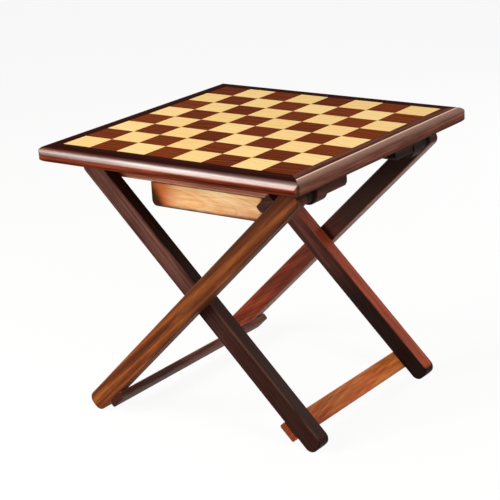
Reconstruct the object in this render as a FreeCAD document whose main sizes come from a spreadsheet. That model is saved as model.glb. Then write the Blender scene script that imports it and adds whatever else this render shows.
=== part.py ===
import FreeCAD, Part
import math
import os
import Sketcher

# Chess table with an inlaid board: a square top on two crossed leg frames that fold flat under it.
# The floor is z = 0, the crossing of the legs is over the origin, the near player sits on the -Y side.

# Driving dimensions, in millimetres
SIZES = {
    # Board and rim
    "square_size": 50,  # one square of the board
    "tile_thick": 3,  # inlaid squares
    "panel_thick": 12,  # base panel under the squares
    "panel_tongue": 8,  # panel let into the rim on each side
    "rim_width": 28.5,  # rim moulding, in plan
    "rim_thick": 24.5,  # rim moulding, in height
    "rim_round": 12,  # bullnose radius of the rim
    "rim_corner": 8,  # rounded corners of the rim, in plan
    # Leg frames
    "leg_half": 273,  # leg from its crossing to either end
    "leg_width": 30,  # leg across its length, seen from the front
    "leg_thick": 24,  # leg from front to back
    "leg_round": 12,  # rounded corners at the leg ends
    "leg_arris": 1.5,  # eased long edges of the legs
    "pivot_inset": 16,  # edge of the board to the top pivots
    "leg_rim_gap": 2.5,  # leg ends to the rim above them
    "frame_inset": 38.5,  # outer edge of the rim to the outer legs, front to back
    "frame_gap": 3,  # outer leg to inner leg
    "stretcher_width": 30,  # bottom stretcher along the leg
    "stretcher_thick": 11,  # bottom stretcher off the leg
    "stretcher_from_end": 31,  # foot end of the leg to the stretcher
    "rail_width": 29,  # upper rail along the leg
    "rail_thick": 12.5,  # upper rail off the leg
    "rail_lug_gap": 1,  # hinge lug to the upper rail, along the leg
    "board_round": 2.5,  # rounded corners of stretchers and rail
    # Pivots
    "pin_radius": 4,  # hinge pins
    "pin_play": 0.05,  # pin to bore, radial
    "pin_cover": 6,  # wood left over a blind pin
    "washer_radius": 11,  # washers between the legs
    "washer_play": 0.2,  # washer to each face beside it
    "rod_radius": 7,  # top rod of the inner frame
    "seat_play": 0.3,  # rod to its open seat
    # Cleats under the top
    "cleat_edge": 0.5,  # cleat to the inner face of the rim
    "neck_width": 29,  # block over the round lug
    "lug_radius": 17,  # round lug at the hinge
    "lug_thick": 25,  # lug from front to back
    "lug_back": 20,  # boss between the washer and the lug
    "boss_radius": 13,  # boss round the hinge pin
    "tail_width": 24,  # bar behind the lug
    "tail_drop": 48,  # top surface down to the bar's underside
    "tail_length": 52,  # bar behind the lug, front to back
    "tail_chamfer": 4,  # chamfer at the bar's far end
    "seat_width": 29,  # left cleat, left to right
    "seat_lip": 7,  # wood under the open seat
    "seat_length": 36,  # left cleat, front to back
    # Aprons, drawer case and drawer
    "apron_drop": 60,  # top surface down to the underside of the aprons
    "apron_pivot_gap": 66,  # right ends of the aprons to the hinge pins
    "case_wall": 10,  # sides of the case
    "case_bottom_thick": 8,  # bottom of the case
    "case_back_thick": 8,  # back of the case, which stops the drawer
    "case_drop": 95.5,  # top surface down to the case's underside
    "front_lap": 1,  # drawer front past each side of the case
    "front_thick": 14,  # drawer front
    "front_round": 9,  # lower corners of the drawer front
    "front_arris": 2,  # eased front edges of the drawer front
    "front_overlap": 2,  # drawer front below the case
    "front_inset": 2,  # drawer front to the inner legs
    "drawer_wall": 8,  # drawer sides and back
    "drawer_floor": 4,  # drawer bottom
    "drawer_play": 0.3,  # drawer to its case
    "front_play": 1.5,  # drawer front to the apron above it
    "stop_play": 0.6,  # drawer back to the back of the case
    "overrun": 5,  # how far a cutting tool passes a face
}
squares_across = 8
parallel_share = 0.9
case_left_share = 0.47  # half of the board that the drawer case takes to the left of the middle
case_right_share = 0.52  # and to the right
case_end_share = 0.63  # its reach behind the middle, against that in front

doc = FreeCAD.newDocument("chess_table")
sheet = doc.addObject("Spreadsheet::Sheet", "sizes")


class Size:
    """A number together with the expression that the document keeps for it."""

    def __init__(self, value, text):
        self.value = value
        self.text = text

    def _join(self, sign, other, value):
        return Size(value, f"({self.text} {sign} {as_size(other).text})")

    def __add__(self, other):
        return self._join("+", other, self.value + as_size(other).value)

    def __sub__(self, other):
        return self._join("-", other, self.value - as_size(other).value)

    def __mul__(self, other):
        return self._join("*", other, self.value * as_size(other).value)

    def __truediv__(self, other):
        return self._join("/", other, self.value / as_size(other).value)

    def __neg__(self):
        return Size(-self.value, f"(-{self.text})")


def as_size(number):
    return number if isinstance(number, Size) else Size(float(number), repr(float(number)))


def root(number):
    return Size(math.sqrt(number.value), f"sqrt({number.text})")


def arc_cosine(number):
    return Size(math.degrees(math.acos(number.value)), f"acos({number.text})")


class Dimensions:
    """The driving dimensions by name, each tied to its cell of the sheet."""

    def __init__(self, table):
        for row, (alias, value) in enumerate(table.items(), 1):
            sheet.set(f"A{row}", alias)
            sheet.set(f"B{row}", str(value))
            sheet.setAlias(f"B{row}", alias)
            setattr(self, alias, Size(float(value), f"sizes.{alias}"))


dim = Dimensions(SIZES)
ALONG_X = FreeCAD.Vector(1, 0, 0)
ALONG_Y = FreeCAD.Vector(0, 1, 0)
ALONG_Z = FreeCAD.Vector(0, 0, 1)

# Places worked out from the driving dimensions
field_half = dim.square_size * (squares_across / 2)
top_half = field_half + dim.rim_width
pivot_x = field_half - dim.pivot_inset
pivot_reach = dim.leg_half - dim.leg_width / 2
run = pivot_x / pivot_reach
rise = root(as_size(1) - run * run)
leg_slope = arc_cosine(run)
foot_corner_z = (dim.leg_half - dim.leg_round) * rise + (dim.leg_width / 2 - dim.leg_round) * run
crossing_z = foot_corner_z + dim.leg_round
pivot_z = crossing_z + pivot_reach * rise
top_z = pivot_z + dim.leg_width / 2 + dim.leg_rim_gap + dim.rim_thick
panel_top_z = top_z - dim.tile_thick
under_z = panel_top_z - dim.panel_thick
outer_span = (top_half - dim.frame_inset) * 2
outer_leg_y = (outer_span - dim.leg_thick) / 2
inner_leg_y = outer_leg_y - dim.leg_thick - dim.frame_gap
inner_span = inner_leg_y * 2 + dim.leg_thick
inner_clear_y = inner_leg_y - dim.leg_thick / 2
outer_clear_y = outer_leg_y - dim.leg_thick / 2
inner_face_y = inner_leg_y + dim.leg_thick / 2
lug_face_y = inner_face_y - dim.lug_back
drawer_face_y = dim.front_inset - inner_clear_y
case_mouth_y = drawer_face_y + dim.front_thick + dim.drawer_play
case_end_y = case_mouth_y * -case_end_share
case_left = field_half * -case_left_share
case_right = field_half * case_right_share


def across(side, near, far):
    """Two distances from the middle as places on one side of it, lowest first."""
    return (near, far) if side > 0 else (-far, -near)


def bind(item, prop, size):
    """Tie a property to the sheet."""
    item.setExpression(prop, as_size(size).text)


def put(item, x, y, z):
    """Tie an item's place to the sheet."""
    bind(item, "Placement.Base.x", x)
    bind(item, "Placement.Base.y", y)
    bind(item, "Placement.Base.z", z)
    return item


def turned(item, axis, angle):
    """Turn an item about one axis through its own origin."""
    item.Placement = FreeCAD.Placement(item.Placement.Base, FreeCAD.Rotation(axis, angle.value))
    bind(item, "Placement.Rotation.Angle", angle)
    return item


def box(label, low, high):
    """A squared board between two corners."""
    item = doc.addObject("Part::Box", label)
    bind(item, "Length", high[0] - low[0])
    bind(item, "Width", high[1] - low[1])
    bind(item, "Height", high[2] - low[2])
    return put(item, *low)


def pin(label, radius, x, z, y_low, y_high):
    """A round pin that runs from front to back."""
    item = doc.addObject("Part::Cylinder", label)
    bind(item, "Radius", radius)
    bind(item, "Height", y_high - y_low)
    item.Placement.Rotation = FreeCAD.Rotation(ALONG_X, -90)
    return put(item, x, y_low, z)


def joined(kind, label, items):
    """Several shapes fused, cut back to what they share, or kept apart in one group."""
    item = doc.addObject(kind, label)
    setattr(item, "Links" if kind == "Part::Compound" else "Shapes", items)
    return item


def cut(label, base, tool):
    item = doc.addObject("Part::Cut", label)
    item.Base = base
    item.Tool = tool
    return item


def hold(sketch, corner, right, up):
    """Fix the start of a sketch line at its place from the sketch origin."""
    for kind, size in (("DistanceX", right), ("DistanceY", up)):
        size = as_size(size)
        index = sketch.addConstraint(Sketcher.Constraint(kind, -1, 1, corner, 1, size.value))
        sketch.setExpression(f"Constraints[{index}]", size.text)


def outline(body, plane, corners):
    """A closed outline of straight lines through corners given in named sizes."""
    sketch = body.newObject("Sketcher::SketchObject", body.Name + "_outline")
    support = [item for item in body.Origin.OriginFeatures if item.Role == plane][0]
    sketch.AttachmentSupport = [(support, "")]
    sketch.MapMode = "FlatFace"
    spots = [FreeCAD.Vector(as_size(x).value, as_size(y).value, 0) for x, y in corners]
    for start, end in zip(spots, spots[1:] + spots[:1]):
        sketch.addGeometry(Part.LineSegment(start, end))
    for index, (right, up) in enumerate(corners):
        sketch.addConstraint(Sketcher.Constraint("Coincident", index - 1 if index else len(corners) - 1, 2,
                                                 index, 1))
        hold(sketch, index, right, up)
    return sketch


def plate(label, plane, corners, depth):
    """A board of one outline, padded evenly to both sides of its plane."""
    body = doc.addObject("PartDesign::Body", label)
    pad = body.newObject("PartDesign::Pad", label + "_pad")
    pad.Profile = outline(body, plane, corners)
    pad.SideType = "Symmetric"
    bind(pad, "Length", depth)
    doc.recompute()
    return body


def edges_along(body, axis):
    """The straight edges of a body that run along one axis, as (name, middle) pairs."""
    found = []
    for index, edge in enumerate(body.Tip.Shape.Edges):
        if abs(edge.tangentAt(edge.FirstParameter).dot(axis)) > parallel_share:
            found.append((f"Edge{index + 1}", edge.CenterOfMass))
    return found


def dressed(body, kind, prop, size, edges):
    """Round (Fillet, Radius) or bevel (Chamfer, Size) some edges of a body."""
    base = body.Tip
    feature = body.newObject(f"PartDesign::{kind}", f"{body.Name}_{kind.lower()}")
    feature.Base = (base, [name for name, middle in edges])
    bind(feature, prop, size)
    body.Tip = feature
    doc.recompute()
    return body


def rounded(body, radius, edges):
    return dressed(body, "Fillet", "Radius", radius, edges)


def bevelled(body, size, edges):
    return dressed(body, "Chamfer", "Size", size, edges)


def furthest(edges, way, count):
    """The edges that lie furthest along a direction."""
    return sorted(edges, key=lambda edge: -edge[1].dot(way))[:count]


# Top

def board():
    """The base panel and its inlaid squares, light at the near left corner."""
    reach = field_half + dim.panel_tongue
    pieces = [box("base_panel", (-reach, -reach, under_z), (reach, reach, panel_top_z))]
    tiles = {"light_squares": [], "dark_squares": []}
    for column in range(squares_across):
        for row in range(squares_across):
            shade = "dark_squares" if (column + row) % 2 else "light_squares"
            x = dim.square_size * column - field_half
            y = dim.square_size * row - field_half
            far_corner = (x + dim.square_size, y + dim.square_size, top_z)
            tiles[shade].append(box(f"tile_{column}_{row}", (x, y, panel_top_z), far_corner))
    pieces += [joined("Part::Compound", shade, items) for shade, items in tiles.items()]
    return pieces


def rim_outline():
    """The whole rim in plan, a square with rounded corners."""
    corners = [(-top_half, -top_half), (top_half, -top_half), (top_half, top_half), (-top_half, top_half)]
    block = plate("rim_outline", "XY_Plane", corners, dim.rim_thick)
    return rounded(block, dim.rim_corner, edges_along(block, ALONG_Z))


def rim(label, quarter_turns, whole):
    """One bullnose moulding with a groove for the panel, mitred at both ends and eased at the corners."""
    middle_z = dim.rim_thick / 2
    groove_top = middle_z - dim.tile_thick
    groove_low = groove_top - dim.panel_thick
    groove = -field_half - dim.panel_tongue
    section = [(-top_half, -middle_z), (-field_half, -middle_z),
               (-field_half, groove_low), (groove, groove_low),
               (groove, groove_top), (-field_half, groove_top),
               (-field_half, middle_z), (-top_half, middle_z)]
    moulding = plate(label + "_moulding", "YZ_Plane", section, top_half * 2)
    rounded(moulding, dim.rim_round, furthest(edges_along(moulding, ALONG_X), -ALONG_Y, 2))
    inside = field_half - dim.overrun
    corners = [(-top_half, -top_half), (top_half, -top_half), (inside, -inside), (-inside, -inside)]
    mitres = plate(label + "_mitres", "XY_Plane", corners, dim.rim_thick * 2)
    item = joined("Part::MultiCommon", label, [moulding, mitres, whole])
    item.Placement.Rotation = FreeCAD.Rotation(ALONG_Z, quarter_turns * 90)
    return put(item, as_size(0), as_size(0), top_z - middle_z)


# Leg frames. "Along" is measured on a leg from the crossing to the right, "off" square to it, upwards.

def slanted(item, lean, y):
    """Put a piece drawn along a leg at the crossing, to rise to the right (1) or to the left (-1)."""
    turned(item, ALONG_Y, leg_slope * -lean)
    return put(item, as_size(0), y, crossing_z)


def slab(label, along, off, depth, radius):
    """A straight member drawn along a leg, with its four corners rounded."""
    corners = [(along[0], off[0]), (along[1], off[0]), (along[1], off[1]), (along[0], off[1])]
    body = plate(label, "XZ_Plane", corners, depth)
    return rounded(body, radius, edges_along(body, ALONG_Y))


def leg(label, lean, y, bores):
    """One leg with blind bores: each a place along the leg, a radius and the side that it opens on."""
    half = dim.leg_width / 2
    reach = (-dim.leg_half, dim.leg_half)
    stick = slab(label + "_stick", reach, (-half, half), dim.leg_thick, dim.leg_round)
    bevelled(stick, dim.leg_arris, edges_along(stick, ALONG_X))
    face = dim.leg_thick / 2
    drills = []
    for index, (place, radius, side) in enumerate(bores):
        ends = across(side, dim.pin_cover - face, face + dim.overrun)
        drills.append(pin(f"{label}_bore_{index}", radius, place, as_size(0), *ends))
    return slanted(cut(label, stick, joined("Part::MultiFuse", label + "_bores", drills)), lean, y)


def leg_frames():
    half = dim.leg_width / 2
    pin_bore = dim.pin_radius + dim.pin_play
    rod_bore = dim.rod_radius + dim.pin_play
    crossing = as_size(0)
    pieces = []
    for name, side in (("near", -1), ("far", 1)):
        bores = [(crossing, pin_bore, -side), (pivot_reach, pin_bore, -side)]
        pieces.append(leg(f"outer_leg_{name}", 1, outer_leg_y * side, bores))
        bores = [(crossing, pin_bore, side), (-pivot_reach, rod_bore, -side)]
        pieces.append(leg(f"inner_leg_{name}", -1, inner_leg_y * side, bores))
    foot = dim.leg_half - dim.stretcher_from_end
    low_edge = (-half - dim.stretcher_thick, -half)
    for name, lean, span in (("outer", 1, outer_span), ("inner", -1, inner_span)):
        place = across(-lean, foot - dim.stretcher_width, foot)
        stretcher = slab(f"{name}_stretcher", place, low_edge, span, dim.board_round)
        pieces.append(slanted(stretcher, lean, as_size(0)))
    head = pivot_reach - dim.lug_radius - dim.rail_lug_gap
    up_edge = (half, half + dim.rail_thick)
    rail = slab("outer_upper_rail", (head - dim.rail_width, head), up_edge, outer_span, dim.board_round)
    pieces.append(slanted(rail, 1, as_size(0)))
    rod_end = inner_span / 2 - dim.pin_cover
    pieces.append(pin("inner_top_rod", dim.rod_radius, -pivot_x, pivot_z, -rod_end, rod_end))
    return pieces


def washer(label, x, z, y_low, y_high):
    ring = pin(label + "_ring", dim.washer_radius, x, z, y_low, y_high)
    past = (y_low - dim.overrun, y_high + dim.overrun)
    hole = pin(label + "_hole", dim.pin_radius + dim.pin_play, x, z, *past)
    return cut(label, ring, hole)


def pivots():
    """Blind pins and spacing washers where the legs cross and where the outer legs meet the cleats."""
    pin_end = outer_leg_y + dim.leg_thick / 2 - dim.pin_cover
    pieces = []
    for name, side in (("near", -1), ("far", 1)):
        span = across(side, inner_clear_y + dim.pin_cover, pin_end)
        pieces.append(pin(f"crossing_pin_{name}", dim.pin_radius, as_size(0), crossing_z, *span))
        span = across(side, lug_face_y - dim.lug_thick + dim.pin_cover, pin_end)
        pieces.append(pin(f"hinge_pin_{name}", dim.pin_radius, pivot_x, pivot_z, *span))
        gap = across(side, inner_face_y + dim.washer_play, outer_clear_y - dim.washer_play)
        pieces.append(washer(f"crossing_washer_{name}", as_size(0), crossing_z, *gap))
        pieces.append(washer(f"hinge_washer_{name}", pivot_x, pivot_z, *gap))
    return pieces


# Cleats under the top

def hinge_cleat(label, side):
    """A block with a round lug and a boss for the hinge pin, and a bar that runs on along the rim."""
    edge = field_half - dim.cleat_edge
    lug_near = lug_face_y - dim.lug_thick
    tail_near = lug_near - dim.tail_length
    lug_y = across(side, lug_near, lug_face_y)
    neck = box(label + "_neck", (edge - dim.neck_width, lug_y[0], pivot_z), (edge, lug_y[1], under_z))
    lug = pin(label + "_lug", dim.lug_radius, pivot_x, pivot_z, *lug_y)
    boss_y = across(side, lug_near, inner_face_y)
    boss = pin(label + "_boss", dim.boss_radius, pivot_x, pivot_z, *boss_y)
    tail_low = top_z - dim.tail_drop
    corners = [(tail_near, under_z), (lug_near, under_z), (lug_near, tail_low),
               (tail_near + dim.tail_chamfer, tail_low), (tail_near, tail_low + dim.tail_chamfer)]
    tail = plate(label + "_tail", "YZ_Plane", [(y * side, z) for y, z in corners], dim.tail_width)
    put(tail, edge - dim.tail_width / 2, as_size(0), as_size(0))
    bore_y = across(side, lug_near + dim.pin_cover, inner_face_y + dim.overrun)
    bore = pin(label + "_bore", dim.pin_radius + dim.pin_play, pivot_x, pivot_z, *bore_y)
    return cut(label, joined("Part::MultiFuse", label + "_block", [neck, lug, boss, tail]), bore)


def seat_cleat(label, side):
    """A block with an open seat that the inner frame's rod slides into from the left."""
    edge = field_half - dim.cleat_edge
    room = dim.rod_radius + dim.seat_play
    seat = pivot_x - room
    seat_low = pivot_z - room
    seat_high = pivot_z + room
    low = seat_low - dim.seat_lip
    back = dim.seat_width - edge
    corners = [(-edge, under_z), (-edge, seat_high), (-seat, seat_high), (-seat, seat_low),
               (-edge, seat_low), (-edge, low), (back, low), (back, under_z)]
    body = plate(label, "XZ_Plane", corners, dim.seat_length)
    rod = FreeCAD.Vector(-pivot_x.value, 0, pivot_z.value)
    near_rod = sorted(edges_along(body, ALONG_Y), key=lambda edge: (edge[1] - rod).Length)[:2]
    rounded(body, dim.rod_radius, near_rod)
    middle_y = inner_clear_y - dim.front_inset - dim.seat_length / 2
    return put(body, as_size(0), middle_y * side, as_size(0))


# Aprons, drawer case and drawer

def apron(label, side):
    """A rail under the panel, from the seat cleat to the swing of the outer frame's upper rail."""
    y = across(side, -case_mouth_y, -drawer_face_y)
    left = dim.seat_width + dim.cleat_edge - field_half
    return box(label, (left, y[0], top_z - dim.apron_drop), (pivot_x - dim.apron_pivot_gap, y[1], under_z))


def case():
    """A box under the panel, open at the near end, that the drawer runs in."""
    inner_left = case_left + dim.case_wall
    inner_right = case_right - dim.case_wall
    low = top_z - dim.case_drop
    floor = low + dim.case_bottom_thick
    back = case_end_y - dim.case_back_thick
    return [box("case_bottom", (case_left, case_mouth_y, low), (case_right, case_end_y, floor)),
            box("case_left_side", (case_left, case_mouth_y, floor), (inner_left, case_end_y, under_z)),
            box("case_right_side", (inner_right, case_mouth_y, floor), (case_right, case_end_y, under_z)),
            box("case_back", (inner_left, back, floor), (inner_right, case_end_y, under_z))]


def drawer():
    """A drawer with an overlapping front, two sides, a back and a bottom."""
    front_back = drawer_face_y + dim.front_thick
    low = top_z - dim.case_drop
    top = top_z - dim.apron_drop - dim.front_play
    front_low = low - dim.front_overlap
    front_left = case_left - dim.front_lap
    front_right = case_right + dim.front_lap
    corners = [(front_left, front_low), (front_right, front_low), (front_right, top), (front_left, top)]
    front = plate("drawer_front", "XZ_Plane", corners, dim.front_thick)
    rounded(front, dim.front_round, furthest(edges_along(front, ALONG_Y), -ALONG_Z, 2))
    shown = furthest(edges_along(front, ALONG_X) + edges_along(front, ALONG_Z), -ALONG_Y, 4)
    bevelled(front, dim.front_arris, shown)
    put(front, as_size(0), front_back - dim.front_thick / 2, as_size(0))
    floor = low + dim.case_bottom_thick + dim.drawer_play
    deck = floor + dim.drawer_floor
    left = case_left + dim.case_wall + dim.drawer_play
    right = case_right - dim.case_wall - dim.drawer_play
    inner_left = left + dim.drawer_wall
    inner_right = right - dim.drawer_wall
    end = case_end_y - dim.case_back_thick - dim.stop_play
    back = end - dim.drawer_wall
    return [front,
            box("drawer_bottom", (left, front_back, floor), (right, end, deck)),
            box("drawer_left_side", (left, front_back, deck), (inner_left, end, top)),
            box("drawer_right_side", (inner_right, front_back, deck), (right, end, top)),
            box("drawer_back", (inner_left, back, deck), (inner_right, end, top))]


pieces = board()
whole_rim = rim_outline()
for quarter, place in enumerate(("near", "right", "far", "left")):
    pieces.append(rim("rim_" + place, quarter, whole_rim))
pieces += leg_frames() + pivots() + case() + drawer()
for place, side in (("near", -1), ("far", 1)):
    pieces.append(hinge_cleat("hinge_cleat_" + place, side))
    pieces.append(seat_cleat("seat_cleat_" + place, side))
    pieces.append(apron("apron_" + place, side))

doc.recompute()
for item in doc.Objects:
    if "Invalid" in item.State or "Error" in item.State:
        raise RuntimeError(f"{item.Label} failed: {item.State}")
os.makedirs("parts", exist_ok=True)
for item in pieces:
    if item.Shape.isNull() or not item.Shape.isValid():
        raise RuntimeError(f"{item.Label} has no valid shape")
    item.Shape.exportStep(f"parts/{item.Label}.step")
print(len(pieces), "pieces, top surface at", round(top_z.value, 2), "pivots at", round(pivot_x.value, 2),
      round(pivot_z.value, 2), "crossing at", round(crossing_z.value, 2))
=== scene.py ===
"""Folding chess table: woods, lacquer, steel fittings, studio floor and camera."""

import math
from collections import namedtuple

import bmesh
import bpy
from mathutils import Matrix, Vector


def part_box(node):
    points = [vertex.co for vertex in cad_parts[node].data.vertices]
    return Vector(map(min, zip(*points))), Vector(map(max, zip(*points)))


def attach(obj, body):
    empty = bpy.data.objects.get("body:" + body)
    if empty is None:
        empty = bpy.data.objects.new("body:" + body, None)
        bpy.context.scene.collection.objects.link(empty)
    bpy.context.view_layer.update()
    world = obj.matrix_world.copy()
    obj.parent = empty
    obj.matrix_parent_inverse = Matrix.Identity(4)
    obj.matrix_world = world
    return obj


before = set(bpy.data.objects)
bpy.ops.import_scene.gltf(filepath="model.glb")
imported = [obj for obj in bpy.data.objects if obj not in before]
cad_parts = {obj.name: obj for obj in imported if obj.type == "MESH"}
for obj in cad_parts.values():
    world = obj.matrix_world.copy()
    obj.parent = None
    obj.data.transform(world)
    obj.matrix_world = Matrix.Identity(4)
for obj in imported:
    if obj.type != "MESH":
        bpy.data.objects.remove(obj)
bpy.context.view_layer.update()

LEFT_RIGHT = Vector((1, 0, 0))
FRONT_BACK = Vector((0, 1, 0))
UPRIGHT = Vector((0, 0, 1))
TABLE_ORIGIN = Vector((0, 0, 0))
SQUARES_ACROSS = 8


# Shader tools

class Value:
    """A shader socket that takes part in plain arithmetic."""

    def __init__(self, finish, socket):
        self.finish = finish
        self.socket = socket

    def math(self, operation, *terms):
        return self.finish.node("ShaderNodeMath", {"operation": operation}, dict(enumerate(terms)))

    def __add__(self, other):
        return self.math("ADD", self, other)

    def __sub__(self, other):
        return self.math("SUBTRACT", self, other)

    def __mul__(self, other):
        return self.math("MULTIPLY", self, other)

    def __truediv__(self, other):
        return self.math("DIVIDE", self, other)

    def __pow__(self, other):
        return self.math("POWER", self, other)

    def __rsub__(self, other):
        return self.math("SUBTRACT", other, self)

    __radd__ = __add__
    __rmul__ = __mul__

    def __abs__(self):
        return self.math("ABSOLUTE", self)

    def whole(self):
        return self.math("FLOOR", self)

    def most(self, other):
        return self.math("MAXIMUM", self, other)

    def rise(self, low, high):
        """0 up to low, 1 from high on, and smooth between."""
        sockets = {"Value": self, "From Min": low, "From Max": high}
        return self.finish.node("ShaderNodeMapRange", {"interpolation_type": "SMOOTHSTEP"}, sockets)


class Finish:
    """The nodes of one material or world, all made by node()."""

    def __init__(self, owner):
        owner.use_nodes = True
        self.owner = owner
        self.tree = owner.node_tree
        self.tree.nodes.clear()

    def node(self, kind, settings=None, sockets=None, out=0):
        made = self.tree.nodes.new(kind)
        for key, setting in (settings or {}).items():
            if key == "stops":
                ramp = made.color_ramp
                while len(ramp.elements) < len(setting):
                    ramp.elements.new(1)
                for stop, (spot, colour) in zip(ramp.elements, setting):
                    stop.position = spot
                    stop.color = colour
            else:
                setattr(made, key, setting)
        for key, given in (sockets or {}).items():
            if isinstance(given, Value):
                self.tree.links.new(given.socket, made.inputs[key])
            else:
                made.inputs[key].default_value = given
        return Value(self, made.outputs[out]) if made.outputs else None

    def place(self, middle):
        """Where a point of the piece is, measured from middle."""
        spot = self.node("ShaderNodeTexCoord", out="Object")
        return self.node("ShaderNodeVectorMath", {"operation": "SUBTRACT"}, {0: spot, 1: middle})

    def reach(self, spot, axis):
        """How far a point lies along an axis."""
        sockets = {0: spot, 1: axis}
        return self.node("ShaderNodeVectorMath", {"operation": "DOT_PRODUCT"}, sockets, "Value")

    def vector(self, x, y, z):
        return self.node("ShaderNodeCombineXYZ", sockets={"X": x, "Y": y, "Z": z})

    def noise(self, spot, seed, detail=2.0, roughness=0.5):
        sockets = {"Vector": spot, "W": seed, "Scale": 1.0, "Detail": detail, "Roughness": roughness}
        return self.node("ShaderNodeTexNoise", {"noise_dimensions": "4D"}, sockets)

    def grain_noise(self, along, side, face, waves, seed, detail=2.0, roughness=0.5):
        """Noise drawn out with the grain: waves are per metre, along the grain and across it."""
        lengthways, across = waves
        spot = self.vector(along * lengthways, side * across, face * across)
        return self.noise(spot, seed, detail, roughness)

    def run(self, distance, seed, detail, roughness):
        """Noise along one distance only."""
        sockets = {"W": distance + seed, "Scale": 1.0, "Detail": detail, "Roughness": roughness}
        return self.node("ShaderNodeTexNoise", {"noise_dimensions": "1D"}, sockets)

    def ramp(self, amount, *stops):
        return self.node("ShaderNodeValToRGB", {"stops": stops}, {"Fac": amount})

    def mix(self, amount, first, second):
        return self.node("ShaderNodeMix", {"data_type": "RGBA"}, {0: amount, 6: first, 7: second}, 2)

    def upward(self):
        """1 on a face that looks up, 0 on an upright one, -1 on one that looks down."""
        return self.reach(self.node("ShaderNodeTexCoord", out="Normal"), UPRIGHT)

    def surface(self, lacquer, colour, roughness, height, metallic=0.0, polish=1.0):
        """The finished surface: height is in metres, and polish is the share of the coat that is left."""
        bump = self.node("ShaderNodeBump", sockets={"Strength": 1.0, "Distance": 1.0, "Height": height})
        shader = self.node("ShaderNodeBsdfPrincipled", sockets={
            "Base Color": colour, "Roughness": roughness, "Metallic": metallic, "Normal": bump,
            "Specular IOR Level": lacquer.specular, "Coat Weight": polish * lacquer.coat,
            "Coat Roughness": lacquer.coat_roughness, "Coat IOR": lacquer.coat_index})
        self.node("ShaderNodeOutputMaterial", sockets={"Surface": shader})
        return self.owner


def new_finish(name):
    return Finish(bpy.data.materials.new(name))


def tone(red, green, blue):
    """A colour as it looks on a screen, 0 to 255, given to the shader as light."""
    shares = (level / 255 for level in (red, green, blue))
    return (*((share / 12.92 if share < 0.04045 else ((share + 0.055) / 1.055) ** 2.4)
              for share in shares), 1.0)


# Woods and lacquers

# A wood's last tone is its pale edge: wear with a painted highlight along the arris on sawn pieces, and a
# painted highlight on a rim's crest.
Wood = namedtuple("Wood", "vein body light pore worn", defaults=(None,))
Lacquer = namedtuple("Lacquer", "roughness coat coat_roughness coat_index specular")
Cut = namedtuple("Cut", "middle along side face half_along half_side half_face")
Grain = namedtuple("Grain", "along side face colour fibre pore")

# The heart of the tree is given in metres from the middle of the piece, rings per metre, and veins, streak
# and the dark ends as shares. An arch bends the rings round a spot along the piece.
Figure = namedtuple("Figure", "heart_side heart_face lean rings veins seed "
                    "arch arch_at streak dark_foot dark_head flank",
                    defaults=(0.0, 0.0, 0.0, 0.0, 0.0, None))

GLOSS = Lacquer(0.42, 1.0, 0.30, 1.7, 0.0)
SATIN = Lacquer(0.5, 0.05, 0.48, 1.5, 0.03)
BARE = Lacquer(0.65, 0.0, 0.5, 1.5, 0.1)
METAL = Lacquer(0.22, 0.0, 0.3, 1.5, 0.5)
BOARD_LACQUER = Lacquer(0.4, 0.03, 0.12, 1.5, 0.0)

RIM_WOOD = Wood(tone(66, 22, 12), tone(120, 50, 30), tone(150, 70, 46), tone(40, 13, 8),
                tone(230, 190, 170))
# The right rim's paler, browner tones are its wood and a painted sheen on that side; its last tone is the
# crest's painted highlight.
RIGHT_RIM_WOOD_AND_SHEEN = Wood(tone(84, 44, 33), tone(138, 84, 67), tone(172, 116, 96), tone(52, 26, 19),
                      tone(246, 206, 184))
GOLDEN_LEG = Wood(tone(82, 38, 17), tone(114, 57, 27), tone(152, 84, 37), tone(48, 26, 17),
                  tone(156, 96, 62))
GREY_LEG = Wood(tone(60, 33, 27), tone(88, 55, 47), tone(110, 71, 62), tone(34, 11, 6),
                tone(150, 100, 84))
DUSK_LEG = Wood(tone(64, 33, 28), tone(106, 60, 51), tone(130, 76, 65), tone(13, 7, 6),
                tone(150, 98, 84))
RED_LEG = Wood(tone(84, 30, 17), tone(126, 53, 32), tone(154, 71, 44), tone(56, 41, 36),
               tone(196, 132, 116))
STRETCHER_WOOD = Wood(tone(204, 96, 50), tone(240, 128, 66), tone(255, 174, 94), tone(100, 36, 24),
                      tone(226, 150, 96))
DARK_STRETCHER = Wood(tone(98, 54, 43), tone(144, 92, 77), tone(172, 120, 104), tone(50, 22, 16),
                      tone(164, 116, 100))
APRON_WOOD = Wood(tone(140, 84, 66), tone(182, 118, 96), tone(204, 144, 120), tone(96, 52, 40),
                  tone(214, 158, 136))
BOX_WOOD = Wood(tone(188, 130, 88), tone(216, 164, 118), tone(232, 186, 140), tone(158, 104, 68),
                tone(226, 196, 152))
CLEAT_WOOD = Wood(tone(56, 28, 21), tone(108, 65, 51), tone(136, 86, 70), tone(32, 16, 11),
                  tone(160, 112, 96))
SHADED_CLEAT = Wood(tone(30, 15, 12), tone(58, 36, 30), tone(86, 57, 49), tone(18, 9, 7))
DRAWER_WOOD = Wood(tone(244, 184, 118), tone(255, 218, 162), tone(255, 232, 188), tone(196, 114, 58))
PALE_VENEER = Wood(tone(236, 194, 120), tone(249, 214, 145), tone(253, 224, 162), tone(200, 148, 82))
DARK_VENEER = Wood(tone(68, 21, 5), tone(112, 45, 12), tone(140, 64, 20), tone(42, 13, 4))
RIM_DARK_TONE = tone(32, 6, 4)
TOASTED_STAIN = tone(184, 82, 16)
BURNT_STAIN = tone(34, 10, 4)
BOSS_PAINTED_SHADE = tone(20, 11, 8)
BROWN_FLANK_TONE = tone(58, 38, 30)
RED_FLANK_TONE = tone(196, 88, 56)
PALE_SAP = tone(226, 178, 166)
BRIGHT_STEEL = tone(176, 174, 170)
DULL_STEEL = tone(112, 106, 100)


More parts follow.
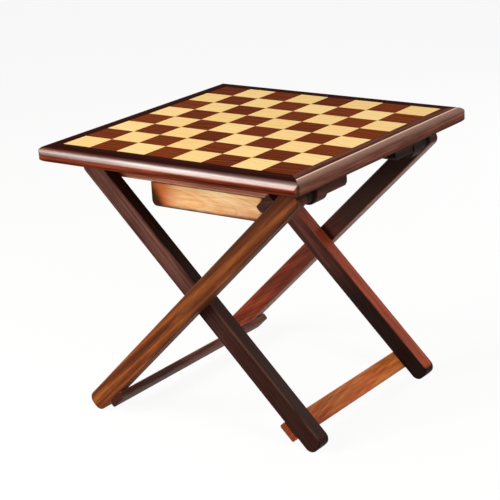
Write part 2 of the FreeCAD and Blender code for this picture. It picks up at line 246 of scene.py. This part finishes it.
def cut_of(node, along, face):
    """How a piece was sawn: its middle, its grain direction and the face that shows."""
    side = face.cross(along)
    spots = [corner.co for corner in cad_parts[node].data.vertices]
    middle = Vector()
    halves = []
    for axis in (along, side, face):
        reaches = [spot.dot(axis) for spot in spots]
        middle += axis * (min(reaches) + max(reaches)) / 2
        halves.append((max(reaches) - min(reaches)) / 2)
    return Cut(middle, along, side, face, *halves)


# Sawn wood. Waves are per metre, along the grain and across it. A range holds where a layer starts to show
# and where it shows in full. Each layer adds a number of its own to the seed of the piece.

WANDER_WAVES = (3.2, 16)
WANDER_SIDE = 0.018  # metres that the heart of the tree wanders
WANDER_FACE = 0.006
RING_DETAIL = (3, 0.6)
RING_SHARE = 0.48  # the cloud gives the rest of the colour
VEINS_PER_RING = 0.42
VEIN_WANDER = 0.8
VEIN_DETAIL = (1, 0.4)
VEIN_RANGE = (0.53, 0.7)
VEIN_SEED = 31
CLOUD_WAVES = (11, 62)
CLOUD_DETAIL = (4, 0.6)
CLOUD_SEED = 7
FIBRE_WAVES = (16, 300)
FIBRE_START = 0.38
FIBRE_SHADE = 1.6
PORE_WAVES = (60, 800)
PORE_RANGE = (0.6, 0.75)
PORE_SHADE = 0.4
PORE_SEED = 3
VEIN_SPOT, BODY_SPOT, LIGHT_SPOT = 0.37, 0.5, 0.63  # places of the tones on the wood's ramp
STREAK_HALF = 0.005
STREAK_WANDER = 0.03
STREAK_RANGE = (0.4, 0.56)
HEAD_RANGE = (-0.5, 0.35)  # shares of the half length
FLANK_DEPTH = 0.002
FLANK_SHARE = 0.9
END_GRAIN_DEPTH, END_GRAIN_FULL = 0.003, 0.0005
END_GRAIN_SHARE = 0.75


def grain(finish, cut, tones, figure):
    """Sawn wood: growth rings round the heart of the tree, dark veins, fibres and open pores."""
    spot = finish.place(cut.middle)
    place = [finish.reach(spot, axis) for axis in (cut.along, cut.side, cut.face)]
    along, side, face = place
    seed = figure.seed
    wander = finish.grain_noise(*place, WANDER_WAVES, seed) - 0.5
    heart_side = side - figure.heart_side + along * figure.lean + wander * WANDER_SIDE
    heart_face = face - figure.heart_face + wander * WANDER_FACE
    heart_end = (along - figure.arch_at) * figure.arch
    radius = (heart_side * heart_side + heart_face * heart_face + heart_end * heart_end) ** 0.5
    rings = finish.run(radius * figure.rings, seed, *RING_DETAIL)
    vein_path = radius * (figure.rings * VEINS_PER_RING) + wander * VEIN_WANDER
    veins = finish.run(vein_path, seed + VEIN_SEED, *VEIN_DETAIL).rise(*VEIN_RANGE)
    cloud = finish.grain_noise(*place, CLOUD_WAVES, seed + CLOUD_SEED, *CLOUD_DETAIL)
    fibre = finish.grain_noise(*place, FIBRE_WAVES, seed)
    pore = finish.grain_noise(*place, PORE_WAVES, seed + PORE_SEED, 1).rise(*PORE_RANGE)
    colour = finish.ramp(rings * RING_SHARE + cloud * (1 - RING_SHARE), (VEIN_SPOT, tones.vein),
                         (BODY_SPOT, tones.body), (LIGHT_SPOT, tones.light))
    colour = finish.mix(veins * figure.veins, colour, tones.vein)
    streak = 1 - abs(side + wander * STREAK_WANDER).rise(0.0, STREAK_HALF)
    colour = finish.mix(streak * cloud.rise(*STREAK_RANGE) * figure.streak, colour, tones.light)
    # Darker towards the head or the foot: painted shade on the far outer leg's head and on the outer
    # stretcher's near end.
    head = along.rise(*(cut.half_along * share for share in HEAD_RANGE))
    colour = finish.mix(head * figure.dark_head, colour, tones.pore)
    colour = finish.mix((1 - head) * figure.dark_foot, colour, tones.pore)
    # One long face of the piece in a tone of its own.
    if figure.flank:
        upper = 1 - side.rise(-cut.half_side, FLANK_DEPTH - cut.half_side)
        colour = finish.mix(upper * FLANK_SHARE, colour, figure.flank)
    end_grain = abs(along).rise(cut.half_along - END_GRAIN_DEPTH, cut.half_along - END_GRAIN_FULL)
    colour = finish.mix(end_grain * END_GRAIN_SHARE, colour, tones.pore)
    colour = finish.mix((fibre - FIBRE_START).most(0.0) * FIBRE_SHADE, colour, tones.pore)
    colour = finish.mix(pore * PORE_SHADE, colour, tones.pore)
    return Grain(along, side, face, colour, fibre, pore)


FIBRE_ROUGHNESS = 0.1
PORE_ROUGHNESS = 0.15
FIBRE_RELIEF = 0.00001  # metres
PORE_RELIEF = 0.000006


def sawn_surface(finish, lacquer, sawn, colour, wear=0.0, polish=1.0):
    """Lacquer over sawn wood: the fibres stand up a little, and the pores are sunk and dull."""
    roughness = sawn.fibre * FIBRE_ROUGHNESS + sawn.pore * PORE_ROUGHNESS + (wear + lacquer.roughness)
    height = sawn.fibre * FIBRE_RELIEF - sawn.pore * PORE_RELIEF
    return finish.surface(lacquer, colour, roughness, height, polish=polish)


PALE_EDGE_DEPTH, PALE_EDGE_FULL = 0.0028, 0.0008  # metres in from a long edge
WEAR_AND_SHEEN_SHARE = 0.55
RUBBED_WAVES = (25, 60)
RUBBED_RANGE = (0.3, 0.55)
RUBBED_SEED = 5
RUBBED_ROUGHNESS = 0.08
PLANED_SMOOTHNESS = 0.05


def wood(name, cut, tones, figure, lacquer, wear_and_sheen_share=WEAR_AND_SHEEN_SHARE):
    """A sawn piece whose long edges are pale: rubbed wear, and a painted highlight along each arris."""
    finish = new_finish(name)
    sawn = grain(finish, cut, tones, figure)
    # Pale long edges: rubbed wear, and a painted highlight along each arris.
    edge = abs(sawn.side).rise(cut.half_side - PALE_EDGE_DEPTH, cut.half_side - PALE_EDGE_FULL)
    edge = edge * abs(sawn.face).rise(cut.half_face - PALE_EDGE_DEPTH, cut.half_face - PALE_EDGE_FULL)
    rubbed = finish.grain_noise(*sawn[:3], RUBBED_WAVES, figure.seed + RUBBED_SEED, 3).rise(*RUBBED_RANGE)
    colour = finish.mix(edge * rubbed * wear_and_sheen_share, sawn.colour, tones.worn)
    wear = edge * rubbed * RUBBED_ROUGHNESS - PLANED_SMOOTHNESS
    return sawn_surface(finish, lacquer, sawn, colour, wear)


# Rim mouldings: these ranges say how far a face looks up
FLAT_RANGE = (0.60, 0.90)
CREST_RANGE = (0.45, 0.95)
CREST_LINE_RANGE = (0.93, 0.99)
CREST_END_RANGE = (0.991, 0.9998)
POLISHED_RANGE = (-0.2, 0.25)
CREST_SPREAD = 0.35  # share of the crest's painted highlight outside its line
GLUE_LINE = (0.0002, 0.0009)  # metres from the mitre
GLUE_SHARE = 0.8
POLISHED_RUN = (-0.3, 0.05)  # metres from the middle, along which the polish grows
LEAST_POLISHED_RUN = 0.5
LEAST_FIBRE_POLISH = 0.5
LEAST_POLISH = 0.02


def moulding(name, cut, tones, figure, flat_dark_share, crest_highlight_share, polish_share):
    """A rim moulding: polished on its round, darker on its flat, with a painted highlight along its crest
    and a glue line at each mitre.
    """
    finish = new_finish(name)
    sawn = grain(finish, cut, tones, figure)
    upward = finish.upward()
    # Darker on the flat, where the moulding looks up.
    flat = upward.rise(*FLAT_RANGE)
    colour = finish.mix(flat * flat_dark_share, sawn.colour, RIM_DARK_TONE)
    # Painted highlight: the crest of the round is paled, standing in for a lamp's reflection on it.
    crest = upward.rise(*CREST_RANGE) * CREST_SPREAD + upward.rise(*CREST_LINE_RANGE) * (1 - CREST_SPREAD)
    crest = crest * (1 - upward.rise(*CREST_END_RANGE))
    colour = finish.mix(crest * crest_highlight_share, colour, tones.worn)
    x, y = (finish.reach(finish.place(TABLE_ORIGIN), axis) for axis in (LEFT_RIGHT, FRONT_BACK))
    mitre = 1 - abs(abs(x) - abs(y)).rise(*GLUE_LINE)
    colour = finish.mix(mitre * GLUE_SHARE, colour, RIM_DARK_TONE)
    rubbed = x.rise(*POLISHED_RUN) * (1 - LEAST_POLISHED_RUN) + LEAST_POLISHED_RUN
    polish = upward.rise(*POLISHED_RANGE) * (1 - flat) * (LEAST_FIBRE_POLISH + sawn.fibre)
    polish = polish * rubbed * polish_share + LEAST_POLISH
    return sawn_surface(finish, GLOSS, sawn, colour, polish=polish)


# The drawer front: lengths are in metres
SCORCH_WAVES = (30, 60)
SCORCH_WANDER = 0.008
SCORCH_SEED = 9
TOASTED_LEFT_RANGE = (-0.06, -0.012)  # from the left end
TOASTED_LEFT_SHARE = 0.9
TOASTED_LOW_RANGE = (-0.4, 1.2)  # shares of the half height, downwards from the middle
TOASTED_LOW_SHARE = 0.3
TOASTED_RIGHT_SHARE = 0.35  # more of it towards the right
TOASTED_RIGHT_START = 0.02
BURNT_CORNER_RANGE = (-0.02, 0.002)
BURNT_CORNER_SLOPE = 0.6
BURNT_RIGHT_RANGE = (-0.004, 0.006)  # from the right end
BURNT_LOW_RANGE = (-0.003, 0.004)  # from the lower edge
BURNT_SHARE = 0.95


def burnt_wood(name, cut, tones, figure, lacquer):
    """A sawn board toasted towards its left end and lower edge, and burnt at the corner between them."""
    finish = new_finish(name)
    sawn = grain(finish, cut, tones, figure)
    cloud = finish.grain_noise(*sawn[:3], SCORCH_WAVES, figure.seed + SCORCH_SEED) * SCORCH_WANDER
    left = cloud - sawn.along - cut.half_along
    right = sawn.along + cloud - cut.half_along
    down = cloud - sawn.side
    rightward = sawn.along.rise(TOASTED_RIGHT_START, cut.half_along)
    low_share = TOASTED_LOW_SHARE + rightward * TOASTED_RIGHT_SHARE
    toasted_low = down.rise(*(cut.half_side * share for share in TOASTED_LOW_RANGE)) * low_share
    toasted = (left.rise(*TOASTED_LEFT_RANGE) * TOASTED_LEFT_SHARE).most(toasted_low)
    colour = finish.mix(toasted, sawn.colour, TOASTED_STAIN)
    corner = (left + down * BURNT_CORNER_SLOPE).rise(*BURNT_CORNER_RANGE)
    burnt = corner.most(right.rise(*BURNT_RIGHT_RANGE)).most((down - cut.half_side).rise(*BURNT_LOW_RANGE))
    colour = finish.mix(burnt * BURNT_SHARE, colour, BURNT_STAIN)
    return sawn_surface(finish, lacquer, sawn, colour)


BOSS_LENGTH = 0.02  # metres of a hinge cleat's outer end, painted black as shade
BOSS_EDGE = 0.0005
BOSS_SHADE_SHARE = 0.95


def cleat_wood(name, cut, tones, figure, boss_start):
    """A cleat whose turned boss is painted black: painted shade for the gap between the lug and the leg.
    """
    finish = new_finish(name)
    sawn = grain(finish, cut, tones, figure)
    # Painted shade: the boss is painted near black for the shadowed gap beside the leg.
    outward = abs(finish.reach(finish.place(TABLE_ORIGIN), FRONT_BACK))
    boss = outward.rise(boss_start, boss_start + BOSS_EDGE)
    colour = finish.mix(boss * BOSS_SHADE_SHARE, sawn.colour, BOSS_PAINTED_SHADE)
    return sawn_surface(finish, SATIN, sawn, colour)


# Veneer squares: waves per metre from left to right and from front to back
VENEER_START_STEP = 9
VENEER_OTHER_SEED = 5.0
VENEER_WANDER_WAVES = (14, 26)
VENEER_WANDER_STEP = 7
VENEER_WANDER = 0.016
VENEER_LEAN = 0.5
VENEER_RINGS = 260
VENEER_RING_STEP = 23
VENEER_RING_SHARE = 0.85  # the square's own tone gives the rest
VENEER_FIBRE_WAVES = (60, 1100)
VENEER_FIBRE_START = 0.35
VENEER_FIBRE_SHADE = 0.4
VENEER_PORE_WAVES = (210, 2300)
VENEER_PORE_RANGE = (0.6, 0.74)
VENEER_SPOTS = (0.3, 0.5, 0.68)
VENEER_GLUE_SHADE = 0.1
VENEER_FIBRE_ROUGHNESS = 0.08
VENEER_PORE_ROUGHNESS = 0.06
VENEER_PORE_RELIEF = 0.00002  # metres
VENEER_GLUE_RELIEF = 0.00002
VENEER_GLUE_RANGE = (0.494, 0.498)  # shares of a square from its middle


def inlay(name, tones, seed, pitch, lacquer):
    """Squares of veneer under lacquer: each square has its own tone and its own stretch of grain."""
    finish = new_finish(name)
    spot = finish.place(TABLE_ORIGIN)
    x, y = (finish.reach(spot, axis) for axis in (LEFT_RIGHT, FRONT_BACK))
    square = finish.vector((x / pitch).whole(), (y / pitch).whole(), 0.0)
    own = finish.node("ShaderNodeTexWhiteNoise", {"noise_dimensions": "3D"}, {"Vector": square}, "Value")
    other = finish.node("ShaderNodeTexWhiteNoise", {"noise_dimensions": "4D"},
                        {"Vector": square, "W": VENEER_OTHER_SEED + seed}, "Value")
    start = own * VENEER_START_STEP + seed

    def waved(waves, depth):
        return finish.vector(x * waves[0], y * waves[1], depth)

    wander = finish.noise(waved(VENEER_WANDER_WAVES, own * VENEER_WANDER_STEP), seed) - 0.5
    ring_path = (y + x * (other - 0.5) * VENEER_LEAN + wander * VENEER_WANDER) * VENEER_RINGS
    rings = finish.run(ring_path + start * VENEER_RING_STEP, seed, *RING_DETAIL)
    fibre = finish.noise(waved(VENEER_FIBRE_WAVES, start), seed)
    pore = finish.noise(waved(VENEER_PORE_WAVES, start), seed + PORE_SEED, 1).rise(*VENEER_PORE_RANGE)
    colour = finish.ramp(rings * VENEER_RING_SHARE + other * (1 - VENEER_RING_SHARE),
                         *zip(VENEER_SPOTS, (tones.vein, tones.body, tones.light)))
    colour = finish.mix((fibre - VENEER_FIBRE_START) * VENEER_FIBRE_SHADE, colour, tones.pore)
    colour = finish.mix(pore * PORE_SHADE, colour, tones.pore)
    glue = edge_line(x, pitch).most(edge_line(y, pitch))
    colour = finish.mix(glue * VENEER_GLUE_SHADE, colour, tones.pore)
    roughness = lacquer.roughness + fibre * VENEER_FIBRE_ROUGHNESS + pore * VENEER_PORE_ROUGHNESS
    height = fibre * FIBRE_RELIEF - pore * VENEER_PORE_RELIEF - glue * VENEER_GLUE_RELIEF
    return finish.surface(lacquer, colour, roughness, height)


def edge_line(distance, pitch):
    """1 on the glue lines between the squares."""
    share = distance / pitch
    return abs(share - share.whole() - 0.5).rise(*VENEER_GLUE_RANGE)


SCRATCHES_ACROSS, SCRATCHES_ALONG = 900, 6000  # per metre
SCRATCH_ROUGHNESS = 0.12
SCRATCH_RELIEF = 0.00001  # metres
DULL_WAVES = 120
DULL_RANGE = (0.4, 0.75)
DULL_SHARE = 0.6
DULL_ROUGHNESS = 0.2
DULL_SEED = 4


def steel(name, seed):
    """Turned steel with fine scratches and a little dulling."""
    finish = new_finish(name)
    spot = finish.place(TABLE_ORIGIN)
    x, y, z = (finish.reach(spot, axis) for axis in (LEFT_RIGHT, FRONT_BACK, UPRIGHT))
    scratched = finish.vector(x * SCRATCHES_ACROSS, y * SCRATCHES_ALONG, z * SCRATCHES_ACROSS)
    scratch = finish.noise(scratched, seed)
    dulled = finish.vector(x * DULL_WAVES, y * DULL_WAVES, z * DULL_WAVES)
    dull = finish.noise(dulled, seed + DULL_SEED, 3).rise(*DULL_RANGE)
    colour = finish.mix(dull * DULL_SHARE, BRIGHT_STEEL, DULL_STEEL)
    roughness = METAL.roughness + scratch * SCRATCH_ROUGHNESS + dull * DULL_ROUGHNESS
    return finish.surface(METAL, colour, roughness, scratch * SCRATCH_RELIEF, metallic=1.0)


def dress(node, material):
    """Gives a CAD node its finish."""
    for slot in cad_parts[node].material_slots:
        slot.material = material


# Grain directions of the leg frames

def centre(node):
    low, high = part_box(node)
    return (low + high) / 2


crossing = centre("crossing_pin_near")
hinge = centre("hinge_pin_near")
up_right = ((hinge - crossing) * Vector((1, 0, 1))).normalized()
up_left = Vector((-up_right.x, 0, up_right.z))
off_right = up_right.cross(FRONT_BACK)
off_left = up_left.cross(FRONT_BACK)

# The inlaid board and its rim

board_low, board_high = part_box("light_squares")
pitch = (board_high.x - board_low.x) / SQUARES_ACROSS
dress("light_squares", inlay("pale_veneer_squares", PALE_VENEER, 2.0, pitch, BOARD_LACQUER))
dress("dark_squares", inlay("rosewood_veneer_squares", DARK_VENEER, 11.0, pitch, BOARD_LACQUER))

# Grain direction, tones, and the shares of the dark flat, the painted highlight on the crest, and polish
RIMS = {
    "rim_near": (LEFT_RIGHT, RIM_WOOD, 0.9, 0.0, 1.0),
    "rim_right": (FRONT_BACK, RIGHT_RIM_WOOD_AND_SHEEN, 0.6, 0.9, 0.12),
    "rim_far": (LEFT_RIGHT, RIM_WOOD, 0.9, 0.0, 1.0),
    "rim_left": (FRONT_BACK, RIM_WOOD, 0.9, 0.0, 1.0),
}
for number, (node, (along, tones, *shares)) in enumerate(RIMS.items()):
    figure = Figure(0.03, -0.05, 0.02, 220, 0.5, 3.7 * number + 1)
    dress(node, moulding(node + "_rosewood", cut_of(node, along, UPRIGHT), tones, figure, *shares))

# Leg frames

LEG_WEAR_AND_SHEEN_SHARE = 0.22
LEGS = {
    "outer_leg_near": (up_right, GOLDEN_LEG,
                       Figure(0.03, -0.03, 0.05, 200, 0.35, 4.0, streak=0.5, dark_head=0.2)),
    # The far outer leg's dark head is painted shade from the top above it.
    "outer_leg_far": (up_right, RED_LEG,
                      Figure(-0.03, -0.02, 0.25, 340, 0.4, 9.0, dark_head=0.9, flank=PALE_SAP)),
    "inner_leg_near": (up_left, GREY_LEG,
                       Figure(0.04, -0.05, 0.02, 320, 0.3, 15.0, dark_foot=0.85, flank=BROWN_FLANK_TONE)),
    "inner_leg_far": (up_left, DUSK_LEG,
                      Figure(0.02, -0.06, 0.03, 320, 0.4, 22.0, dark_foot=0.9, flank=RED_FLANK_TONE)),
}
for node, (along, tones, figure) in LEGS.items():
    cut = cut_of(node, along, -FRONT_BACK)
    dress(node, wood(node + "_rosewood", cut, tones, figure, SATIN, LEG_WEAR_AND_SHEEN_SHARE))

BARS = {
    # The outer stretcher's dark near end and pale pink far half are painted shade and a painted highlight.
    "outer_stretcher": (off_right, DARK_STRETCHER,
                        Figure(0.03, -0.05, 0.03, 320, 0.3, 31.0, dark_foot=0.78)),
    "outer_upper_rail": (off_right, CLEAT_WOOD, Figure(0.02, -0.04, 0.02, 160, 0.7, 37.0)),
    "inner_stretcher": (off_left, STRETCHER_WOOD,
                        Figure(0.02, -0.02, 0.2, 170, 0.2, 43.0, dark_foot=0.4)),
    "inner_top_rod": (off_left, CLEAT_WOOD, Figure(0.0, 0.0, 0.01, 190, 0.5, 47.0)),
}
for node, (face, tones, figure) in BARS.items():
    dress(node, wood(node + "_rosewood", cut_of(node, FRONT_BACK, face), tones, figure, SATIN))

# Cleats, drawer case and aprons under the top

CLEATS = {
    "hinge_cleat_near": (CLEAT_WOOD, BOSS_LENGTH),
    "hinge_cleat_far": (SHADED_CLEAT, BOSS_LENGTH),
    "seat_cleat_near": (CLEAT_WOOD, 0.0),
    "seat_cleat_far": (CLEAT_WOOD, 0.0),
}
for number, (node, (tones, boss_length)) in enumerate(CLEATS.items()):
    figure = Figure(0.02, -0.05, 0.03, 260, 0.4, 51.0 + 4 * number)
    boss_start = max(abs(corner.y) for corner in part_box(node)) - boss_length
    cut = cut_of(node, FRONT_BACK, LEFT_RIGHT)
    dress(node, cleat_wood(node + "_rosewood", cut, tones, figure, boss_start))

CASE = {
    "base_panel": (LEFT_RIGHT, -UPRIGHT, Figure(0.1, -0.3, 0.04, 90, 0.2, 70.0)),
    "case_bottom": (FRONT_BACK, -UPRIGHT, Figure(0.05, -0.2, 0.05, 90, 0.2, 74.0)),
    "case_left_side": (FRONT_BACK, LEFT_RIGHT, Figure(0.03, -0.2, 0.04, 90, 0.2, 78.0)),
    "case_right_side": (FRONT_BACK, LEFT_RIGHT, Figure(0.04, -0.15, 0.04, 90, 0.2, 82.0)),
    "case_back": (LEFT_RIGHT, FRONT_BACK, Figure(0.03, -0.2, 0.04, 90, 0.2, 86.0)),
}
DRAWER_BOX = {
    "drawer_bottom": (LEFT_RIGHT, UPRIGHT, Figure(0.04, -0.2, 0.05, 90, 0.2, 101.0)),
    "drawer_left_side": (FRONT_BACK, LEFT_RIGHT, Figure(0.04, -0.2, 0.05, 90, 0.2, 105.0)),
    "drawer_right_side": (FRONT_BACK, LEFT_RIGHT, Figure(0.04, -0.2, 0.05, 90, 0.2, 109.0)),
    "drawer_back": (LEFT_RIGHT, FRONT_BACK, Figure(0.04, -0.2, 0.05, 90, 0.2, 113.0)),
}
for node, (along, face, figure) in (CASE | DRAWER_BOX).items():
    dress(node, wood(node + "_wood", cut_of(node, along, face), BOX_WOOD, figure, BARE))

for number, node in enumerate(("apron_near", "apron_far")):
    figure = Figure(0.03, -0.06, 0.03, 150, 0.5, 61.0 + 4 * number)
    dress(node, wood(node + "_rosewood", cut_of(node, LEFT_RIGHT, -FRONT_BACK), APRON_WOOD, figure, SATIN))

# Drawer front

figure = Figure(-0.004, -0.02, 0.05, 800, 0.15, 90.0, arch=0.2, arch_at=-0.04)
dress("drawer_front", burnt_wood("drawer_front_wood", cut_of("drawer_front", LEFT_RIGHT, -FRONT_BACK),
                                 DRAWER_WOOD, figure, SATIN))

# Steel fittings

fitting_steel = steel("fitting_steel", 61.0)
for place in ("near", "far"):
    for fitting in ("crossing_pin", "hinge_pin", "crossing_washer", "hinge_washer"):
        dress(f"{fitting}_{place}", fitting_steel)


def new_object(name, data):
    made = bpy.data.objects.new(name, data)
    bpy.context.scene.collection.objects.link(made)
    return made


# Screws in cup washers, under the drawer case

TURN = 32  # points round a screw
SCREW_RINGS = (  # radius and height in metres, from the outer edge of the cup to the recess
    (0.0052, 0.0), (0.0052, 0.0003), (0.0046, 0.0011), (0.0040, 0.0013), (0.0037, 0.0011),
    (0.0035, 0.0014), (0.0030, 0.0018))
RECESS_WIDE = 0.0022
RECESS_NARROW = 0.0007
RECESS_TOP = 0.0020
RECESS_FLOOR = 0.0009
RECESS_ARM = 0.97  # cosine of half the angle that an arm of the recess takes
SCREW_TWIST = 0.7  # radians from one screw to the next
SCREW_INSET = 0.005  # edge of the case bottom to its screws
SCREW_ENDS = (0.1, 0.37, 0.63, 0.9)  # shares of the case's depth


def recess_radius(turn):
    """Outline of a cross recess: four arms, narrow between them."""
    arm = max(abs(math.cos(turn)), abs(math.sin(turn)))
    return RECESS_WIDE if arm > RECESS_ARM else RECESS_NARROW


def add_screw(mesh, seat):
    """Adds one screw to a mesh; seat puts its own upright on the wood."""
    rings = []
    turns = [2 * math.pi * step / TURN for step in range(TURN)]
    for radius, height in SCREW_RINGS:
        rings.append([(radius * math.cos(turn), radius * math.sin(turn), height) for turn in turns])
    for height in (RECESS_TOP, RECESS_FLOOR):
        rings.append([(recess_radius(turn) * math.cos(turn), recess_radius(turn) * math.sin(turn), height)
                      for turn in turns])
    loops = [[mesh.verts.new(seat @ Vector(spot)) for spot in ring] for ring in rings]
    for lower, upper in zip(loops, loops[1:]):
        for step in range(TURN):
            after = (step + 1) % TURN
            mesh.faces.new((lower[step], lower[after], upper[after], upper[step]))
    mesh.faces.new(list(reversed(loops[0])))
    middle = mesh.verts.new(seat @ Vector((0, 0, RECESS_FLOOR)))
    for step in range(TURN):
        mesh.faces.new((loops[-1][step], loops[-1][(step + 1) % TURN], middle))


def screws(name, spots):
    """One piece that holds a set of screws whose heads face down."""
    mesh = bmesh.new()
    head_down = Matrix.Rotation(math.pi, 4, "X")
    for number, spot in enumerate(spots):
        twist = Matrix.Rotation(SCREW_TWIST * number, 4, "Z")
        add_screw(mesh, Matrix.Translation(spot) @ head_down @ twist)
    data = bpy.data.meshes.new(name)
    mesh.to_mesh(data)
    mesh.free()
    data.materials.append(fitting_steel)
    piece = new_object(name, data)
    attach(piece, "top")


case_low, case_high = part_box("case_bottom")
screws("case_screws", [Vector((x, case_low.y + (case_high.y - case_low.y) * share, case_low.z))
                       for x in (case_low.x + SCREW_INSET, case_high.x - SCREW_INSET)
                       for share in SCREW_ENDS])

# Floor, world and lamps

WHITE = (1, 1, 1, 1)


def seen_white(finish):
    """1 for what the camera, gloss and glass see, 0 for the light that falls on the table."""
    camera, gloss, glass = (finish.node("ShaderNodeLightPath", out=f"Is {ray} Ray")
                            for ray in ("Camera", "Glossy", "Transmission"))
    return camera.most(gloss).most(glass)


FLOOR_HALF = 30.0
FLOOR_GREY = tone(150, 150, 150)  # what the floor throws back on the table
FLOOR_WHITE_SHARE = 0.92  # the rest of the floor takes the table's shadow
floor_finish = new_finish("studio_floor")
seen = seen_white(floor_finish)
paper_colour = floor_finish.mix(seen, FLOOR_GREY, WHITE)
paper = floor_finish.node("ShaderNodeBsdfDiffuse", sockets={"Color": paper_colour})
white = floor_finish.node("ShaderNodeEmission", sockets={"Color": WHITE, "Strength": 1.0})
floor_surface = floor_finish.node("ShaderNodeMixShader", sockets={
    0: seen * FLOOR_WHITE_SHARE, 1: paper, 2: white})
floor_finish.node("ShaderNodeOutputMaterial", sockets={"Surface": floor_surface})
floor_mesh = bpy.data.meshes.new("studio_floor")
floor_mesh.from_pydata([(-FLOOR_HALF, -FLOOR_HALF, 0), (FLOOR_HALF, -FLOOR_HALF, 0),
                        (FLOOR_HALF, FLOOR_HALF, 0), (-FLOOR_HALF, FLOOR_HALF, 0)], [], [(0, 1, 2, 3)])
floor_mesh.materials.append(floor_finish.owner)
floor = new_object("studio_floor", floor_mesh)

AMBIENT = 0.14
bpy.context.scene.world = bpy.data.worlds.new("studio_white")
sky = Finish(bpy.context.scene.world)
ambient, backdrop = (sky.node("ShaderNodeBackground", sockets={"Color": WHITE, "Strength": strength})
                     for strength in (AMBIENT, 1.0))
around = sky.node("ShaderNodeMixShader", sockets={0: seen_white(sky), 1: ambient, 2: backdrop})
sky.node("ShaderNodeOutputWorld", sockets={"Surface": around})

TABLE_MIDDLE = Vector((0, 0, 0.3))
WARM_LIGHT = (1.0, 0.94, 0.87)
PLAIN_LIGHT = (1.0, 1.0, 1.0)
LAMPS = {  # direction from the table, then distance, width and height in metres, watts and colour
    "key_front_left": ((-0.56, -0.69, 0.46), 2.0, 0.75, 0.75, 30, WARM_LIGHT),
    "low_front": ((-0.40, -0.88, 0.12), 2.0, 0.9, 0.5, 22, WARM_LIGHT),
    "overhead": ((-0.2, -0.1, 0.97), 1.7, 1.0, 1.0, 7.2, PLAIN_LIGHT),
    "right_side": ((0.75, -0.25, 0.60), 2.0, 0.8, 0.8, 17, WARM_LIGHT),
    "rear_fill": ((0.20, 0.93, 0.20), 2.2, 1.2, 0.9, 15, PLAIN_LIGHT),
}
for name, (toward, distance, width, height, watts, colour) in LAMPS.items():
    lamp = bpy.data.lights.new(name, "AREA")
    lamp.shape = "RECTANGLE"
    lamp.size = width
    lamp.size_y = height
    lamp.energy = watts
    lamp.color = colour
    holder = new_object(name, lamp)
    toward = Vector(toward).normalized()
    holder.location = TABLE_MIDDLE + toward * distance
    holder.rotation_euler = toward.to_track_quat("Z", "Y").to_euler()

# Camera

AZIMUTH = math.radians(36.299)
ELEVATION = math.radians(18.123)
ROLL = math.radians(-3.196)
CAMERA_PLACE = Vector((1.3779, -1.9060, 0.9977))
SENSOR_WIDTH = 36  # millimetres
FOCAL_LENGTH = 117.77
back = Vector((math.sin(AZIMUTH) * math.cos(ELEVATION), -math.cos(AZIMUTH) * math.cos(ELEVATION),
               math.sin(ELEVATION)))
level = Vector((math.cos(AZIMUTH), math.sin(AZIMUTH), 0))
raised = back.cross(level)
right = level * math.cos(ROLL) + raised * math.sin(ROLL)
up = raised * math.cos(ROLL) - level * math.sin(ROLL)
turned = Matrix((right, up, back)).transposed().to_4x4()
lens = bpy.data.cameras.new("studio_camera")
lens.sensor_fit = "HORIZONTAL"
lens.sensor_width = SENSOR_WIDTH
lens.lens = FOCAL_LENGTH
camera = new_object("studio_camera", lens)
camera.matrix_world = Matrix.Translation(CAMERA_PLACE) @ turned
bpy.context.scene.camera = camera
bpy.context.scene.view_settings.view_transform = "Standard"
